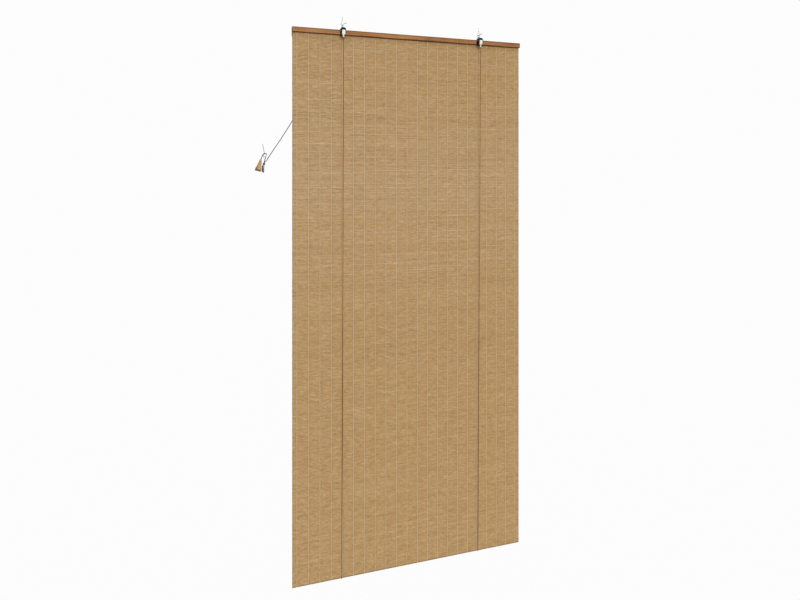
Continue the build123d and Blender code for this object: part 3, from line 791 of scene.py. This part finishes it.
def straight_run(node, front):
    # The two ends of a straight cord in the CAD, from its box.
    # On the way down the front one leans back, and the rear one leans back and to the left.
    low, high = (Vector(corner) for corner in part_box(node))
    near_y, far_y = low.y + cord_radius, high.y - cord_radius
    if front:
        middle = (low.x + high.x) / 2
        return [Vector((middle, near_y, high.z)), Vector((middle, far_y, low.z))]
    top = Vector((high.x - cord_radius, near_y, high.z))
    return [top, Vector((low.x + cord_radius, far_y, low.z))]


lift_runs = []
for side in sides:
    for name, front, top_z in (("_front_cord", True, front_top_z), ("_rear_cord", False, rear_top_z)):
        run_piece = cord_tube(side + name + "_braid", straight_run(side + name, front))
        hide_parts(side + name)
        lift_runs.append((run_piece, top_z))

turn_pieces = []
for side, x in (("left", -hanger_x), ("right", hanger_x)):
    turn_points = (
        (x, 0.00845, run_foot_z),
        (x, 0.00845, -2.2385),
        (x, 0.0085, -2.2418),
        (x, 0.0135, -2.2418),
        (x, 0.0205, -2.2418),
        (x, 0.0268, -2.241),
        (x, 0.0268, -2.234),
        (x, 0.02665, run_foot_z),
    )
    turn_piece = cord_tube(side + "_cord_turn_braid", smooth_line(turn_points))
    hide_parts(side + "_cord_turn")
    turn_pieces.append(turn_piece)

# Over the sheave and the rail, down behind the strip, through the eye and on to the bead
over_rail = (
    (-0.01944, front_top_z),
    (-0.0199, -0.0376),
    (-0.006, -0.0379),
    (0.007, -0.038),
    (0.0165, -0.0379),
    (0.0214, -0.0379),
    (0.0216, -0.044),
)
left_top_points = [(-hanger_x, y, z) for y, z in over_rail] + [
    (-hanger_x, 0.0255, -0.0600),
    (-0.3015, 0.02615, -0.0688),
    (-0.309, 0.02615, -0.0688),
    (-0.32406, 0.02624, -0.09595),
]
right_top_points = [(hanger_x, y, z) for y, z in over_rail] + [
    (hanger_x, 0.0275, -0.0600),
    (0.2985, 0.02855, -0.0695),
    (0.291, 0.02855, -0.0698),
    (0.279, 0.02855, -0.0700),
    (-0.297, 0.02855, -0.0700),
    (-0.309, 0.02855, -0.0688),
    (-0.32406, 0.02864, -0.09595),
]
top_pieces = []
for name, points in (("left_top_cord", left_top_points), ("right_top_cord", right_top_points)):
    top_piece = cord_tube(name + "_braid", smooth_line(points))
    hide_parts(name)
    top_pieces.append(top_piece)

# Pull cord: sagging down to the side hook, a hank of two folds, about two and a half times round its own
# waist, up over the hook's tip, across its mouth and out to the pull
pull_points = [
    (-0.330077, 0.027469, -0.106328),
    (-0.3356, 0.0275, -0.1170),
    (-0.4111, 0.0279, -0.2617),
    (-0.5192, 0.0285, -0.4482),
    (-0.5830, 0.0289, -0.5430),
    (-0.5955, 0.0290, -0.5650),
    (-0.6048, 0.0290, -0.5712),
    # first fold of the hank: down at the right in front, up in the middle behind
    (-0.6058, 0.0289, -0.5790),
    (-0.6064, 0.0278, -0.5875),
    (-0.6067, 0.0270, -0.5960),
    (-0.6067, 0.0268, -0.6040),
    (-0.6068, 0.0270, -0.6105),
    (-0.6097, 0.0320, -0.6105),
    (-0.6098, 0.0322, -0.6040),
    (-0.6099, 0.0320, -0.5950),
    (-0.6100, 0.0318, -0.5920),
    (-0.6101, 0.0316, -0.5860),
    # second fold: down at the left in front, up behind it
    (-0.6131, 0.0272, -0.5863),
    (-0.6134, 0.0268, -0.5920),
    (-0.6133, 0.0268, -0.5970),
    (-0.6132, 0.0268, -0.6010),
    (-0.6130, 0.0270, -0.6070),
    (-0.6128, 0.0326, -0.6072),
    (-0.6128, 0.0328, -0.6005),
    (-0.6126, 0.0327, -0.5945),
    (-0.6106, 0.0326, -0.5884),
    (-0.6092, 0.0317, -0.5827),
]
wrap_x, wrap_y, wrap_foot = -0.6058, 0.0290, -0.5810
wrap_r = 0.0031
wrap_pitch = 0.0030
wrap_steps = 12
wrap_points = 32
for k in range(wrap_points):
    turn = math.pi + 2 * math.pi * k / wrap_steps
    height = wrap_foot + wrap_pitch * k / wrap_steps
    pull_points.append((wrap_x + wrap_r * math.cos(turn), wrap_y + wrap_r * math.sin(turn), height))
pull_points += [
    # up behind the hook, over its tip and across its mouth
    (-0.6043, 0.0322, -0.5716),
    (-0.6040, 0.0329, -0.5665),
    (-0.6014, 0.0329, -0.5600),
    (-0.5990, 0.0326, -0.5530),
    (-0.5974, 0.0322, -0.5450),
    (-0.5968, 0.0314, -0.5382),
    (-0.5968, 0.0268, -0.5378),
    (-0.6005, 0.0258, -0.5383),
    (-0.6045, 0.0259, -0.5368),
    (-0.6090, 0.0259, -0.5402),
    # past the curl and down through the pull
    (-0.6127, 0.0260, -0.5463),
    (-0.6154, 0.0290, -0.5537),
    (-0.6170, 0.0290, -0.5595),
    (-0.6297, 0.0290, -0.6052),
]
pull_line = smooth_line(pull_points)
pull_cord = cord_tube("pull_cord_braid", pull_line, pull_cord_radius, around=12, finish=pull_braid)
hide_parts("pull_cord", "cord_hank", "tail_cord")


# Knots of the fixed ends: a loop round the screw and a wound lump below it


def knot(name):
    loop_r = 0.00245
    loop_slack_share = 1.03
    loop_set_back = 0.0004
    loop_steps, loop_points = 12, 15
    lump_r = 0.0014
    lump_rise = 0.0024
    lump_steps, lump_points = 9, 22
    tip_rise = 0.0002
    low, high = (Vector(corner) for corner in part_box(name))
    x = (low.x + high.x) / 2
    y = low.y + cord_radius
    loop_z = high.z - cord_radius - loop_r
    slack_r = loop_r * loop_slack_share
    points = []
    for k in range(loop_points):
        turn = math.pi * 1.5 + 2 * math.pi * k / loop_steps
        points.append((x + slack_r * math.cos(turn), y + loop_set_back, loop_z + slack_r * math.sin(turn)))
    for k in range(lump_points):
        turn = 2 * math.pi * k / lump_steps
        height = low.z + lump_rise + lump_r * math.cos(math.pi * k / (lump_points - 1))
        points.append((x + lump_r * math.cos(turn), y + lump_r + lump_r * math.sin(turn), height))
    points.append((x, y + lump_r, low.z + tip_rise))
    return cord_tube(name + "_braid", smooth_line(points), around=8)


knots = []
for side in sides:
    knot_piece = knot(side + "_cord_knot")
    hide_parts(side + "_cord_knot")
    knots.append(knot_piece)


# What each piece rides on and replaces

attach(mat, "root")
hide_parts("bamboo_mat")
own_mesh(mat)
for piece in threads:
    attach(piece, "root")
    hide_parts("warp_threads")
    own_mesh(piece)
for piece, top_z in lift_runs:
    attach(piece, "root")
    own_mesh(piece)
for piece in turn_pieces:
    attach(piece, "bottom_bar")
for piece in top_pieces + knots + [pull_cord]:
    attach(piece, "root")


# Stage, light and camera


def seen_directly(tree):
    # 1 for what the camera sees, also mirrored or seen through, and 0 for soft light on the object
    ray = put(tree, "ShaderNodeLightPath").outputs
    seen = maths(tree, "ADD", ray["Is Camera Ray"], ray["Is Glossy Ray"])
    return maths(tree, "ADD", seen, ray["Is Transmission Ray"], clamp=True)


def pale_floor():
    # Grey to the light, and almost white to the camera, with a trace of the object's shadow
    white_share = 0.97
    finish, tree, shader, _ = finish_start("pale_floor")
    shader.inputs["Base Color"].default_value = (0.35, 0.35, 0.35, 1.0)
    shader.inputs["Roughness"].default_value = 0.9
    white = put(tree, "ShaderNodeEmission", {"Color": (1.0, 1.0, 1.0, 1.0), "Strength": 1.0})
    share = maths(tree, "MULTIPLY", seen_directly(tree), white_share)
    both = put(tree, "ShaderNodeMixShader", {0: share, 1: shader.outputs[0], 2: white.outputs[0]})
    tree.links.new(both.outputs[0], tree.nodes["Material Output"].inputs["Surface"])
    return finish


floor_reach = 14.0
floor_below = 0.35
floor_z = cad_box[0][2] - floor_below
floor_corners = [(x * floor_reach, y * floor_reach, floor_z) for x, y in ((-1, -1), (1, -1), (1, 1), (-1, 1))]
floor_mesh = bpy.data.meshes.new("floor")
floor_mesh.from_pydata(floor_corners, [], [(0, 1, 2, 3)])
floor_mesh.materials.append(pale_floor())
floor = new_piece("floor", floor_mesh)

# White to the camera, and a soft light on the object that is stronger from above
world = bpy.data.worlds.new("studio")
bpy.context.scene.world = world
world.use_nodes = True
sky = world.node_tree
backdrop = sky.nodes["Background"]
backdrop.inputs["Color"].default_value = (0.98, 0.98, 0.98, 1.0)
upright = split(sky, put(sky, "ShaderNodeTexCoord").outputs["Generated"])["Z"]
soft = spread(sky, upright, -0.6, 0.8, 0.3, 0.62)
strength = put(sky, "ShaderNodeMix", {0: seen_directly(sky), 2: soft, 3: 1.0}, data_type="FLOAT")
sky.links.new(strength.outputs[0], backdrop.inputs["Strength"])


def lamp(name, power, angle, towards):
    light = bpy.data.lights.new(name, "SUN")
    light.energy = power
    light.angle = math.radians(angle)
    made = new_piece(name, light)
    made.rotation_euler = Vector(towards).to_track_quat("-Z", "Y").to_euler()


lamp("key", power=1.71, angle=18.0, towards=(0.1, 0.9, -0.24))
lamp("top", power=0.12, angle=50.0, towards=(0.1, 0.5, -0.9))
lamp("rear", power=0.8, angle=60.0, towards=(-0.25, -0.9, -0.3))

# The photograph's verticals are parallel: a level camera with its picture shifted down
camera_data = bpy.data.cameras.new("camera")
camera_data.sensor_width = 36.0
camera_data.lens = 28.898
camera_data.shift_y = -0.1524
camera_data.clip_start = 0.05
camera_data.clip_end = 60.0
camera = new_piece("camera", camera_data)
camera.location = (-0.90327, -2.5077, -0.63299)
camera.rotation_euler = (math.radians(90), 0.0, math.radians(-18.648))
bpy.context.scene.camera = camera
bpy.context.scene.view_settings.view_transform = "Standard"
